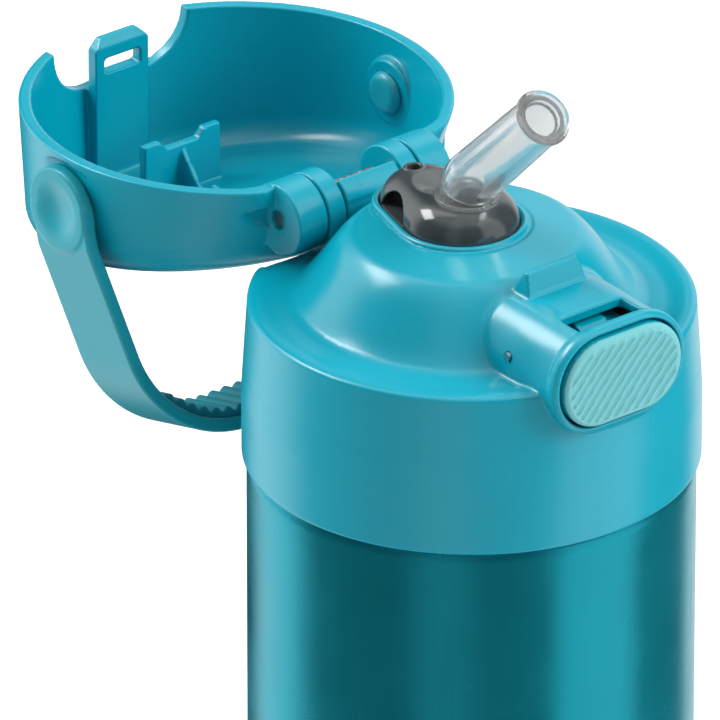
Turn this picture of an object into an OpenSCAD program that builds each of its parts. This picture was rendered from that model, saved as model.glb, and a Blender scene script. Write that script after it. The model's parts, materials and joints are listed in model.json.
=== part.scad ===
// Insulated straw bottle with a sprung flip lid, a bail handle and a push button.
// Origin: centre of the base. +Z up, -Y is the button side, +Y the hinge side.
// It is drawn with the lid thrown fully open, the handle hanging and the spout up.

/* [Bottle] */
// Outside diameter of the steel body
body_d = 72.4; // [72:0.1:72.8]
// Height of the shoulder, the edge where the cap's skirt meets its deck
shoulder_h = 176; // [150:1:230]
// Thickness of the steel sheet
steel_t = 0.6; // [0.5:0.05:0.7]
// Vacuum gap between the two steel walls
vacuum_gap = 1.8; // [1.6:0.1:2.2]

/* [Cap] */
// Outside diameter of the cap's skirt at its lower edge
skirt_d = 74; // [74:0.1:75]
// Outside diameter of the cap at the shoulder
deck_d = 72; // [71.6:0.1:72.4]
// Height of the skirt below the shoulder
skirt_h = 27.5; // [27:0.1:28]
// Height of the seat of the mouthpiece above the shoulder
seat_z = 12.35; // [12:0.05:12.5]
// Lead of the screw thread between the stopper and the neck
thread_lead = 4.5; // [4.4:0.1:5]

/* [Lid] */
// Outside diameter of the lid at its rim
lid_d = 70.8; // [70.4:0.1:71.2]
// Height of the lid's outside top above the shoulder, on the centre line, when shut
lid_top_z = 22.9; // [22.6:0.1:23.4]
// Fall of the lid's top towards the hinge
lid_slope = 11.3; // [11:0.1:12]
// Thickness of the lid's wall
lid_wall = 2.1; // [1.9:0.1:2.3]

/* [Latch] */
// Half width of the latch housing
housing_half_w = 13.45; // [13.3:0.05:13.6]
// Corner radius of the latch housing, half of its height
housing_r = 9.05; // [8.95:0.05:9.15]
// Travel of the push button
button_travel = 2; // [1.8:0.1:2]

/* [Handle] */
// Reach of the handle from its pivots to the outside of the loop
handle_reach = 43.8; // [43:0.2:46]
// Width of the strap
strap_w = 14; // [13:0.5:14]
// Thickness of the strap
strap_t = 2.3; // [2.1:0.1:2.6]
// Angle at which the handle hangs, measured from straight down towards the bottle
hang_angle = 14.5; // [10:0.5:16]

/* [Spout] */
// Outside diameter of the drinking spout
spout_d = 8.7; // [8.4:0.1:9]
// Bore of the drinking spout
spout_bore = 5.6; // [5:0.1:6]
// Forward lean of the spout
spout_lean = 45; // [40:1:48]

/* [Hidden] */

teal = [0.0, 0.62, 0.73];
dark_teal = [0.03, 0.40, 0.48];
sage = [0.47, 0.75, 0.75];
steel = [0.72, 0.73, 0.75];
smoke = [0.45, 0.46, 0.48];
clear = [0.85, 0.92, 0.94];

eps = 0.01;
fine = 128;
medium = 48;

body_r = body_d / 2;
// the shallow recess in the base, which centres the bottle on a boot or a stand
recess_r = 29;
plate_z = 1.6;
// the neck and the stopper, radii from the axis and heights from the base
neck_r = body_r - 2.8;
neck_top_z = shoulder_h - 14.5;
neck_bore_r = neck_r - 2;
ledge_z = shoulder_h - 27;
ledge_r = 28.4;
liner_r = body_r - steel_t - vacuum_gap;
plug_r = 29.3;
bead = 1.1;
plug_bead = 1.6;
thread_turns = 1.25;
thread_z = ledge_z + 4.2;
flange_z = neck_top_z + 0.6;
flange_t = 1.5;

// the cap's deck and mound, heights from the shoulder
deck_z = -0.7;
mound_y = 1.5;
mound_r = 29.5;
flank_run = 12;
flank_h = 10.4;
crown_run = 19;
crown_h = 2.75;
seat_margin = 1.3;
cap_wall = 1.9;

// the hinge between the cap and the lid, heights from the shoulder
hinge_y = 30.3;
hinge_z = 6.6;
knuckle_r = 6.2;
ear_x0 = 6.2;
ear_x1 = 9.7;
knuckle_x1 = 15.8;
hinge_gap = 0.3;
pin_r = 1.5;
run = 0.05;
lip_r0 = 3.8;
lip_r1 = 6.25;
web_r0 = 4.5;
web_r1 = 5.95;
trough_r = 6.8;
swing_r = 7;
flat_foot_z = -11;

// the lid when shut
rim_z = 0.9;
rim_r = lid_d / 2;
corner_r = 7;
corner_ring_r = 26.8;
back_y = 30;
pivot_z = 10;
rivet_r = 2.5;
tab_w = 11;
tab_y = -32.25;
tab_t = 2.25;
tab_z = 1.3;
window_w = 7.4;
window_z = 4.8;
window_h = 2.7;

// the latch
housing_z = 1;
housing_front_y = -37.2;
button_z = 1;
button_half_w = 12;
button_r = 7.6;
button_front_y = -38.5;
pin_y = -24.9;
pin_z = 3.2;
cross_pin_r = 0.75;
pocket_back_y = -17.5;
slot_half_w = 6.2;
slot_y0 = -34.8;
slot_y1 = -29.6;
spring_z = -2.3;
spring_bore_r = 2.45;
spring_seat_y = -26.5;

// the mouthpiece and the spout
spout_y = 1.4;
vent_y = 14.8;
dome_z = 17.3;
elbow_z = 19.6;
bend_r = 5.2;
spout_len = 25;
spout_foot_z = 5.6;

// the handle
pivot_x = 34.8;
disc_r = 7.15;
arm_start = 6.2;
arm_taper = 12.3;
loop_r = 20;
rivet_grip = 0.95;

function arc(c, r, a0, a1, n = 8) =
    [for (i = [0:n]) c + r * [cos(a0 + (a1 - a0) * i / n), sin(a0 + (a1 - a0) * i / n)]];

function ring_z(outline, z) = [for (p = outline) [p[0], p[1], z]];

function lerp(a, b, t) = a + (b - a) * t;

function smooth(t) = t <= 0 ? 0 : t >= 1 ? 1 : t * t * (3 - 2 * t);

// convex outline round two circles on the Y axis, the larger one at the front
function egg(front, front_r, back, back_r, n = 72) =
    let (flare = asin((front_r - back_r) / (back - front)))
    [for (i = [0:n - 1])
        let (a = 360 * i / n, is_back = a > flare && a < 180 - flare)
        is_back ? [back_r * cos(a), back + back_r * sin(a)]
                : [front_r * cos(a), front + front_r * sin(a)]];

// closed solid through a list of rings; each ring runs anticlockwise seen from the last one
module skin(rings) {
    n = len(rings);
    m = len(rings[0]);
    polyhedron(
        points = [for (ring = rings) each ring],
        faces = concat(
            [[for (i = [0:m - 1]) i]],
            [[for (i = [m - 1:-1:0]) (n - 1) * m + i]],
            [for (k = [0:n - 2], i = [0:m - 1])
                each let (a = k * m + i, b = k * m + (i + 1) % m)
                    [[a, b + m, b], [a, a + m, b + m]]]));
}

// helical bead of a trapezoid section on a cylinder, its crest at r + height
module thread_bead(r, height, base_w, crest_w, z0) {
    steps = 48 * thread_turns;
    inner = r - height / 4;
    skin([for (k = [0:steps])
        let (a = 360 * thread_turns * k / steps,
             z = z0 + thread_lead * a / 360,
             fade = min(1, 0.1 + k / 6, 0.1 + (steps - k) / 6),
             crest = r + height * fade,
             side = height < 0 ? -1 : 1,
             section = [[inner, side * base_w / 2], [crest, side * crest_w / 2],
                        [crest, -side * crest_w / 2], [inner, -side * base_w / 2]])
        [for (p = section) [p[0] * cos(a), p[0] * sin(a), z + p[1]]]]);
}

// round wire wound on the Z axis
module coil(r, wire_r, height, turns) {
    steps = 24 * turns;
    skin([for (k = [0:steps])
        let (a = 360 * turns * k / steps, z = height * k / steps)
        [for (j = [0:7])
            let (b = -45 * j, q = r + wire_r * cos(b))
            [q * cos(a), q * sin(a), z + wire_r * sin(b)]]]);
}

module along_x(x0, x1, y, z, r, fn = medium) {
    translate([x0, y, z]) rotate([0, 90, 0]) cylinder(r = r, h = x1 - x0, $fn = fn);
}

// slot-ended plate standing in the XZ plane, from y0 to y1
module stadium(half_w, r, z, y0, y1, fn = medium) {
    translate([0, y1, z]) rotate([90, 0, 0]) linear_extrude(y1 - y0) {
        square([2 * (half_w - r), 2 * r], center = true);
        for (side = [-1, 1])
            translate([side * (half_w - r), 0]) circle(r, $fn = fn);
    }
}

module box(x0, x1, y0, y1, z0, z1) {
    translate([x0, y0, z0]) cube([x1 - x0, y1 - y0, z1 - z0]);
}

module at_shoulder() {
    translate([0, 0, shoulder_h]) children();
}

// turns a piece drawn on the shut lid to where it stands with the lid open
module open_lid() {
    translate([0, hinge_y, shoulder_h + hinge_z])
        rotate([180, 0, 0])
            translate([0, -hinge_y, -hinge_z])
                children();
}

// carries a piece drawn round the handle's pivot axis to the hanging handle
module at_handle() {
    open_lid() translate([0, 0, pivot_z]) rotate([180 - hang_angle, 0, 0]) children();
}

// ---- bottle ----

module outer_shell() {
    foot_r = 3;
    t = steel_t;
    foot = [body_r - foot_r, foot_r];
    turn = [neck_r + 0.4, ledge_z - 2.6];
    turn_out = body_r - turn[0];
    color(teal) rotate_extrude($fn = fine) polygon(concat(
        [[recess_r, 0]],
        arc(foot, foot_r, -90, 0),
        arc(turn, turn_out, 0, 90),
        [[neck_r, turn[1] + turn_out]],
        arc([neck_r - 0.8, neck_top_z - 0.8], 0.8, 0, 90, 4),
        [[neck_bore_r, neck_top_z], [neck_bore_r, neck_top_z - t],
         [neck_r - t, neck_top_z - t], [neck_r - t, turn[1] + turn_out - t]],
        arc(turn, turn_out - t, 90, 0),
        arc(foot, foot_r - t, 0, -90),
        [[recess_r + t, t], [recess_r + t, plate_z], [recess_r, plate_z]]));
}

module inner_liner() {
    t = steel_t;
    top = neck_top_z - steel_t;
    floor_z = 6;
    color(steel) {
        rotate_extrude($fn = fine) polygon(concat(
            [[0, floor_z]],
            arc([liner_r - 10, floor_z + 10], 10, -90, 0),
            [[liner_r, ledge_z - 8], [ledge_r + t, ledge_z - 2.5], [ledge_r + t, ledge_z - t],
             [neck_bore_r + t, ledge_z - t], [neck_bore_r + t, top], [neck_bore_r, top],
             [neck_bore_r, ledge_z], [ledge_r, ledge_z], [ledge_r, ledge_z - 2.8],
             [liner_r - t, ledge_z - 8.3]],
            arc([liner_r - 10, floor_z + 10], 10 - t, 0, -90),
            [[0, floor_z + t]]));
        intersection() {
            thread_bead(neck_bore_r, -bead, 1.6, 0.9, thread_z);
            cylinder(r = neck_bore_r + t / 2, h = shoulder_h, $fn = fine);
        }
    }
}

module bottom_plate() {
    t = steel_t;
    z = plate_z;
    color(steel) rotate_extrude($fn = fine) polygon([
        [1.6, z + 2], [6, z + 2], [7, z + t], [recess_r + t, z + t], [recess_r + t, z],
        [6.6, z], [5.6, z + 1.4], [1.6, z + 1.4]]);
}

module vacuum_plug() {
    z = plate_z + 1.4;
    color(steel) rotate_extrude($fn = medium) polygon([
        [0, z - 0.5], [3, z - 0.5], [3, z], [1.55, z], [1.55, z + 0.8], [0, z + 0.8]]);
}

module getter_puck() {
    color(steel) translate([14, 0, 4.4]) rotate_extrude($fn = medium) polygon([
        [0, 0], [5, 0], [5, 1.6], [0, 1.6]]);
}

// ---- stopper ----

module stopper_seal() {
    color(clear) translate([0, 0, ledge_z + 0.02]) rotate_extrude($fn = fine) polygon([
        [27.6, 0.3], [28.1, 0], [29.7, 0], [30.1, 0.5], [29.8, 0.9], [30.1, 1.3],
        [29.6, 2.2], [27.6, 2.2]]);
}

module stopper_plug() {
    seal_top = ledge_z + 2.24;
    color(dark_teal) difference() {
        union() {
            rotate_extrude($fn = fine) polygon([
                [0, seal_top + 0.6], [26, seal_top + 0.6], [26, ledge_z + 0.3], [27.5, ledge_z + 0.3],
                [27.5, seal_top], [plug_r, seal_top], [plug_r, flange_z], [35.1, flange_z],
                [35.1, flange_z + flange_t], [plug_r - 2, flange_z + flange_t],
                [plug_r - 2, seal_top + 2.4],
                [0, seal_top + 2.4]]);
            thread_bead(plug_r, plug_bead, 2.0, 1.1, thread_z + thread_lead / 2);
        }
        translate([0, spout_y, ledge_z]) cylinder(r = 3.9, h = 8, $fn = medium);
        translate([0, vent_y, ledge_z]) cylinder(r = 1.5, h = 8, $fn = medium);
    }
}

// ---- cap ----

// height of the cap's bell-shaped mound at a distance in from its foot
function mound_height(d) =
    deck_z - 0.1 + flank_h * smooth(d / flank_run) + crown_h * min(max((d - 2) / crown_run, 0), 1);

module mound(inset, drop, foot_z) {
    steps = 16;
    n = 72;
    span = crown_run + 2;
    levels = concat([[mound_r - inset, foot_z]],
        [for (k = [0:steps])
            let (d = span * k / steps)
            [mound_r - d - inset, mound_height(d) - drop]]);
    translate([0, mound_y, 0]) skin([for (p = levels)
        [for (i = [0:n - 1]) [p[0] * cos(360 * i / n), p[0] * sin(360 * i / n), p[1]]]]);
}

// the raised seat round the foot of the mouthpiece
module seat_step() {
    out = seat_margin;
    skin([for (k = [[out + 0.8, 7], [out + 0.8, 9], [out + 0.2, seat_z - 0.3], [out - 0.1, seat_z]])
        ring_z(egg(2.9, 9.5 + k[0], 12.4, 7 + k[0]), k[1])]);
}

module skirt_body() {
    top_r = deck_d / 2;
    low_r = skirt_d / 2;
    rotate_extrude($fn = fine) polygon(concat(
        [[0, -skirt_h], [low_r - 0.5, -skirt_h], [low_r, -skirt_h + 0.5], [low_r, -16]],
        arc([top_r - 0.9, -0.9], 0.9, 4, 90, 5),
        [[top_r - 2.2, 0], [top_r - 4, deck_z], [0, deck_z]]));
}

module hinge_ears() {
    for (side = [-1, 1]) {
        x0 = side < 0 ? -ear_x1 : ear_x0;
        along_x(x0, x0 + ear_x1 - ear_x0, hinge_y, hinge_z, knuckle_r);
        box(x0, x0 + ear_x1 - ear_x0, hinge_y - knuckle_r, back_y - 0.6, -4, hinge_z);
    }
}

module latch_wedge() {
    intersection() {
        translate([0, 0, 9]) rotate([90, 0, 90]) translate([0, 0, -6.1])
            linear_extrude(12.2) polygon([[-21.8, 0], [-16.8, 0], [-19.1, 4.5], [-20.1, 4.5]]);
        translate([0, -30, 9]) rotate([-90, 0, 0])
            linear_extrude(20) polygon([[-6.1, 0], [6.1, 0], [5.2, -4.5], [-5.2, -4.5]]);
    }
}

module cap_collar() {
    cavity_r = skirt_d / 2 - 1.8;
    flange_top = flange_z + flange_t - shoulder_h;
    color(teal) at_shoulder() difference() {
        union() {
            difference() {
                union() {
                    skirt_body();
                    difference() {
                        mound(0, 0, -2);
                        // flat facet between the seat and the ears
                        translate([0, 20, 9.3]) rotate([-24.2, 0, 0]) box(-9.8, 9.8, 0, 12, 0, 6);
                    }
                    seat_step();
                    stadium(housing_half_w, housing_r, housing_z, housing_front_y, -20);
                    box(-10, 10, -24, -8, 0, housing_z + housing_r);
                    latch_wedge();
                }
                // flat on which the open lid's back wall comes to rest
                box(-21, 21, back_y - 0.6, 40, flat_foot_z, 10);
                // room for the shut lid's back wall and for the swing of the hinge parts
                box(-19.5, 19.5, back_y - lid_wall - 0.4, 40, 0, 14);
                along_x(-ear_x1 - 0.05, ear_x1 + 0.05, hinge_y, hinge_z, trough_r);
                for (x = [-19.5, ear_x1 - 0.05])
                    along_x(x, x + 19.55 - ear_x1, hinge_y, hinge_z, swing_r);
            }
            hinge_ears();
        }
        translate([0, 0, -skirt_h - 1]) cylinder(r = cavity_r, h = skirt_h + 1 + flange_top, $fn = fine);
        // the hollow under the deck and the mound
        intersection() {
            union() {
                mound(2, cap_wall, deck_z - cap_wall - 1);
                translate([0, 0, flange_top - eps])
                    cylinder(r = 32, h = deck_z - cap_wall - flange_top, $fn = fine);
            }
            box(-40, 40, pocket_back_y + 2, back_y - 9, -20, 40);
        }
        translate([0, spout_y, 0]) cylinder(r = 6.25, h = 20, $fn = medium);
        translate([0, vent_y, 0]) cylinder(r = 2.45, h = 20, $fn = medium);
        translate([0, 0, seat_z - 0.6]) linear_extrude(2) polygon(egg(2.9, 9.6, 12.4, 7.1));
        latch_pocket();
        along_x(-20, 20, hinge_y, hinge_z, pin_r + run);
        along_x(-20, 20, pin_y, pin_z, cross_pin_r + run / 5);
    }
}

module latch_pocket() {
    stadium(button_half_w + 0.3, button_r + 0.3, button_z, housing_front_y - 1, -33.3);
    stadium(housing_half_w - 2, housing_r - 2, housing_z, -35, pocket_back_y - 3);
    box(-3, 3, -22, pocket_back_y, spring_z - 3, spring_z + 3);
    box(-slot_half_w, slot_half_w, slot_y0, slot_y1, 0, 12);
    // chamfer round the mouth of the slot
    translate([0, 0, housing_z + housing_r - 0.5]) skin([for (k = [-0.2, 0.7])
        [[-slot_half_w - k, slot_y0 - k, k], [slot_half_w + k, slot_y0 - k, k],
         [slot_half_w + k, slot_y1 + k, k], [-slot_half_w - k, slot_y1 + k, k]]]);
}

// ---- mouthpiece and drinking parts ----

module dome(inset, z0, rise, plateau_in) {
    steps = 8;
    skin([for (k = [0:steps])
        let (a = 90 * k / steps, d = inset + plateau_in * (1 - cos(a)))
        ring_z(egg(2.9, 9.5 - d, 12.4, 7 - d), z0 + rise * sin(a))]);
}

module mouthpiece() {
    color(smoke) at_shoulder() difference() {
        union() {
            difference() {
                dome(0, seat_z - 0.55, dome_z - seat_z + 0.55, 6);
                dome(1.6, seat_z - 1, 3.8, 4);
            }
            translate([0, spout_y, 2]) cylinder(r = 6.2, h = 13.6, $fn = medium);
            translate([0, vent_y, 15.6]) cylinder(r = 1.8, h = 1.65, $fn = medium);
        }
        translate([0, spout_y, 5.5]) cylinder(r = spout_d / 2 - 0.2, h = 20, $fn = medium);
        translate([0, spout_y, 1]) cylinder(r = 3.25, h = 6, $fn = medium);
        translate([0, vent_y, 10]) cylinder(r = 1.3, h = 20, $fn = medium);
        for (side = [-1, 1])
            translate([side * 7, 11.1, 11.6]) rotate([0, side * 90, -side * 12])
                cylinder(r = 4.05, h = 6, center = true, $fn = medium);
    }
}

module vent_valve() {
    color(clear) at_shoulder() translate([0, vent_y, 0]) rotate_extrude($fn = medium) polygon([
        [0.7, 6], [1.3, 6], [2.4, 9.4], [2.4, 11.7], [0.9, 11.7], [0.9, 9.2]]);
}

module straw() {
    foot_z = 10;
    top_z = shoulder_h + 5.4;
    color(clear) translate([0, spout_y, foot_z]) difference() {
        cylinder(r = 3.2, h = top_z - foot_z, $fn = medium);
        translate([0, 0, -1]) cylinder(r = 2.4, h = top_z - foot_z + 2, $fn = medium);
        translate([0, 0, -4.4]) rotate([30, 0, 0]) cube([30, 30, 8], center = true);
    }
}

// centre line of the spout, as [y, z, lean]: up out of the dome, then forward
function spout_path() =
    let (n = 8,
         start = [spout_y, elbow_z - bend_r * tan(spout_lean / 2)],
         bend = [for (i = [0:n])
             let (a = spout_lean * i / n)
             [start[0] - bend_r * (1 - cos(a)), start[1] + bend_r * sin(a), a]],
         last = bend[n])
    concat([[spout_y, spout_foot_z, 0], [spout_y, start[1] - 0.04, 0]], bend,
           [for (s = [4, 12, spout_len - 2.3, spout_len - 1.7, spout_len])
               [last[0] - s * sin(spout_lean), last[1] + s * cos(spout_lean), spout_lean]]);

module tube(path, radii, n = 32) {
    skin([for (k = [0:len(path) - 1])
        let (p = path[k], r = radii[k])
        [for (i = [0:n - 1])
            let (a = 360 * i / n)
            [r * cos(a), p[0] + r * sin(a) * cos(p[2]), p[1] + r * sin(a) * sin(p[2])]]]);
}

module spout() {
    path = spout_path();
    n = len(path);
    low_r = spout_d / 2 - 0.25;
    tube_r = spout_d / 2;
    tip_r = spout_d / 2 + 0.4;
    bore_r = spout_bore / 2;
    first = path[0];
    last = path[n - 1];
    bore_path = concat([[first[0], first[1] - 1, 0]], [for (k = [1:n - 2]) path[k]],
        [[last[0] - sin(spout_lean), last[1] + cos(spout_lean), spout_lean]]);
    color(clear) at_shoulder() difference() {
        tube(path, [for (k = [0:n - 1]) k < 2 ? low_r : k > n - 3 ? tip_r : tube_r]);
        tube(bore_path, [for (k = [0:n - 1]) bore_r]);
    }
}

// ---- hinge and latch hardware ----

module hinge_pin() {
    color(steel) at_shoulder() along_x(-knuckle_x1 + 0.8, knuckle_x1 - 0.8, hinge_y, hinge_z, pin_r);
}

module hinge_spring() {
    color(steel) at_shoulder() translate([-5.2, hinge_y, hinge_z]) rotate([0, 90, 0])
        coil(2.6, 0.45, 10.4, 8);
}

module retaining_pin() {
    color(steel) at_shoulder() along_x(-13.35, 13.35, pin_y, pin_z, cross_pin_r);
}

module latch_spring() {
    wire_r = 0.35;
    color(steel) at_shoulder() translate([0, pocket_back_y - wire_r - 0.02, spring_z])
        rotate([90, 0, 0]) coil(1.9, wire_r, pocket_back_y - spring_seat_y - 2 * wire_r - 0.04, 5);
}

module latch_slider() {
    color(teal) at_shoulder() difference() {
        union() {
            stadium(button_half_w - 0.1, button_r - 0.1, button_z, -37.5, -35.6);
            box(-7.2, 7.2, -36, -24.6, -5.2, 0.1);
            box(-6.6, 6.6, -29.6, -23, -5.2, 6.2);
            box(-2.9, 2.9, -29.8, -27.6, 0, 6.6);
            translate([-2.9, 0, 0]) rotate([90, 0, 90]) linear_extrude(5.8)
                polygon([[-29.6, 5.1], [-31.6, 5.3], [-30, 7.2], [-27.7, 7.2], [-27.7, 5.1]]);
        }
        along_x(-10, 10, pin_y, pin_z, cross_pin_r + 0.1);
        along_x(-10, 10, pin_y - button_travel, pin_z, cross_pin_r + 0.1);
        box(-10, 10, pin_y - button_travel, pin_y, pin_z - cross_pin_r - 0.1, pin_z + cross_pin_r + 0.1);
        translate([0, spring_seat_y, spring_z]) rotate([-90, 0, 0])
            cylinder(r = spring_bore_r, h = 10, $fn = medium);
    }
}

module button_pad() {
    rib_pitch = 1.85;
    color(sage) at_shoulder() {
        stadium(button_half_w - 0.6, button_r - 0.6, button_z, button_front_y + 0.35, -37.5);
        intersection() {
            stadium(button_half_w - 1.2, button_r - 1.2, button_z, button_front_y - 1, -38);
            union() {
                for (k = [-7:7])
                    translate([k * rib_pitch, button_front_y + 0.5, button_z]) rotate([0, 30, 0])
                        translate([0, 0, -15]) cylinder(r = 0.55, h = 30, $fn = 8);
            }
        }
    }
}

// ---- lid, drawn shut ----

module lid_form(inset, rim) {
    hull() {
        translate([0, 0, rim]) cylinder(r = rim_r - inset, h = 1, $fn = 96);
        translate([0, 0, lid_top_z]) rotate([-lid_slope, 0, 0]) translate([0, 0, -corner_r])
            rotate_extrude($fn = 96) translate([corner_ring_r, 0])
                circle(corner_r - inset, $fn = 32);
    }
}

module lid_core() {
    difference() {
        intersection() {
            lid_form(0, rim_z);
            box(-40, 40, -40, back_y, 0, 40);
        }
        intersection() {
            lid_form(lid_wall, rim_z - 1);
            box(-40, 40, -40, back_y - lid_wall, -1, 40);
        }
        // clearance for the latch housing
        stadium(housing_half_w + 0.4, housing_r + 0.4, housing_z, -40, -24);
    }
}

module strike_tab() {
    difference() {
        box(-tab_w / 2, tab_w / 2, tab_y, tab_y + tab_t, tab_z, 26);
        stadium_window();
        for (side = [-1, 1])
            translate([side * tab_w / 2, tab_y, tab_z]) rotate([0, 45, 0])
                cube([2.4, 10, 2.4], center = true);
    }
}

module stadium_window() {
    box(-window_w / 2, window_w / 2, tab_y - 1, tab_y + 4, window_z, window_z + window_h);
}

module pinch_plate() {
    y0 = -15.7;
    difference() {
        box(-7.9, 7.9, y0, y0 + 1.6, 13.55, 27);
        box(-3.8, 3.8, y0 - 1, y0 + 3, 13, 15.1);
    }
    rotate([90, 0, 90]) translate([0, 0, -0.5]) linear_extrude(1)
        polygon([[y0 + 1, 15.1], [y0 + 1, 27], [-4.6, 27], [-4.6, 19.4], [-6, 19.4],
                 [-6.6, 21.2], [-9.6, 21.2]]);
}

module lid_hinge_parts() {
    for (side = [-1, 1]) {
        x0 = side < 0 ? -knuckle_x1 : ear_x1 + hinge_gap;
        along_x(x0, x0 + knuckle_x1 - ear_x1 - hinge_gap, hinge_y, hinge_z, knuckle_r);
    }
    // the lip that shuts the gap between the ears, on a web round the spring
    half = ear_x0 - 0.35;
    centre = [hinge_y, hinge_z];
    translate([-half, 0, 0]) rotate([90, 0, 90]) linear_extrude(2 * half) {
        polygon(concat(arc(centre, lip_r1, -60, -20), arc(centre, lip_r0, -20, -60)));
        polygon(concat(arc(centre, web_r1, -25, 135, 24), arc(centre, web_r0, 135, -25, 24)));
    }
}

module lid_shell() {
    half = ear_x0 - 0.15;
    color(teal) open_lid() difference() {
        union() {
            difference() {
                lid_core();
                along_x(-half, half, hinge_y, hinge_z, web_r0 + 0.8);
                box(-ear_x1 - hinge_gap, ear_x1 + hinge_gap, back_y - 5, 35, 0, hinge_z);
                for (x = [-ear_x1 - hinge_gap, half - 0.1])
                    along_x(x, x + ear_x1 + hinge_gap - half + 0.1, hinge_y, hinge_z, knuckle_r + 0.3);
            }
            lid_hinge_parts();
            intersection() {
                union() {
                    strike_tab();
                    pinch_plate();
                    for (x = [-33.4, 31.4])
                        along_x(x, x + 2, 0, pivot_z, 5.6);
                }
                lid_form(0.3, rim_z);
            }
        }
        along_x(-20, 20, hinge_y, hinge_z, pin_r + run);
        for (x = [-knuckle_x1 - 8, knuckle_x1])
            along_x(x, x + 8, hinge_y, hinge_z, 2.35);
        along_x(-40, 40, 0, pivot_z, rivet_r);
        // flats under the ends of the handle
        for (x = [-40, pivot_x - 0.1])
            along_x(x, x + 40.1 - pivot_x, 0, pivot_z, disc_r + 0.8);
    }
}

// ---- handle, drawn round its pivot axis and hanging along -Z ----

// centre of the bend at the side of the loop, x across and y down
loop_y = handle_reach - strap_t - loop_r;
loop_x = pivot_x - (loop_y - arm_start + loop_r * sin(arm_taper)) * tan(arm_taper)
         - loop_r * cos(arm_taper);

// half outline of the loop, a distance out from its inner face
function strap_side(out) =
    let (r = loop_r + out,
         tilt = out * tan(arm_taper / 2))
    concat([[pivot_x + out, 0], [pivot_x + out, arm_start + tilt]],
           [for (i = [0:16])
               let (a = lerp(arm_taper, 90, i / 16))
               [loop_x, loop_y] + r * [cos(a), sin(a)]]);

// point of the loop a distance s along its inner face from the middle, moved in by h
function loop_point(s, h) =
    let (run_out = max(abs(s) - loop_x, 0),
         a = run_out / loop_r * 180 / PI,
         x = min(abs(s), loop_x) + (loop_r - h) * sin(a))
    [s < 0 ? -x : x, -loop_y - (loop_r - h) * cos(a)];

module strap_profile(out0, out1) {
    inner = strap_side(out0);
    outer = strap_side(out1);
    n = len(inner);
    polygon(concat(
        [for (k = [0:n - 1]) [outer[k][0], -outer[k][1]]],
        [for (k = [n - 1:-1:0]) [-outer[k][0], -outer[k][1]]],
        [for (k = [0:n - 1]) [-inner[k][0], -inner[k][1]]],
        [for (k = [n - 1:-1:0]) [inner[k][0], -inner[k][1]]]));
}

module carry_handle() {
    color(teal) at_handle() difference() {
        union() {
            translate([0, strap_w / 2, 0]) rotate([90, 0, 0]) linear_extrude(strap_w)
                strap_profile(0, strap_t);
            for (x = [-pivot_x - strap_t, pivot_x])
                along_x(x, x + strap_t, 0, 0, disc_r);
        }
        for (side = [-1, 1])
            translate([side * (pivot_x + strap_t + 9.75), 0, 0]) sphere(10.6, $fn = 96);
        along_x(-pivot_x - rivet_grip, pivot_x + rivet_grip, 0, 0, rivet_r - run);
    }
}

module handle_grip() {
    // soft pad of rounded ribs along the inside of the loop
    ribs = 22;
    pitch = 2.6;
    half = ribs * pitch / 2;
    side = strap_w - 2.4;
    color(sage) at_handle() translate([0, side / 2, 0]) rotate([90, 0, 0])
        linear_extrude(side) difference() {
            polygon(concat(
                [for (i = [0:ribs * 6])
                    let (s = -half + pitch * i / 6, fade = min(1, (half - abs(s)) / 4))
                    loop_point(s, 0.3 + 0.5 * fade + 0.9 * abs(sin(180 * i / 6)))],
                [for (i = [ribs:-1:0]) loop_point(-half + pitch * i, -0.6)]));
            strap_profile(0, strap_t);
        }
}

module handle_rivets() {
    head_x = 31.35;
    color(teal) at_handle() for (side = [-1, 1]) {
        x0 = side < 0 ? -pivot_x - rivet_grip : head_x - eps;
        along_x(x0, x0 + pivot_x + rivet_grip - head_x + eps, 0, 0, rivet_r - run);
        translate([side * head_x, 0, 0]) rotate([0, -side * 90, 0])
            rotate_extrude($fn = medium) polygon(concat([[0, 0]], arc([2.2, 0], 1.5, 0, 90, 6), [[0, 1.5]]));
    }
}

outer_shell();
inner_liner();
bottom_plate();
vacuum_plug();
getter_puck();
stopper_seal();
cap_collar();
stopper_plug();
mouthpiece();
vent_valve();
straw();
hinge_pin();
hinge_spring();
retaining_pin();
latch_spring();
spout();
latch_slider();
button_pad();
lid_shell();
carry_handle();
handle_grip();
handle_rivets();
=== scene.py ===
import json
import math

import bpy
import numpy as np
from mathutils import Matrix, Vector


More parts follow.
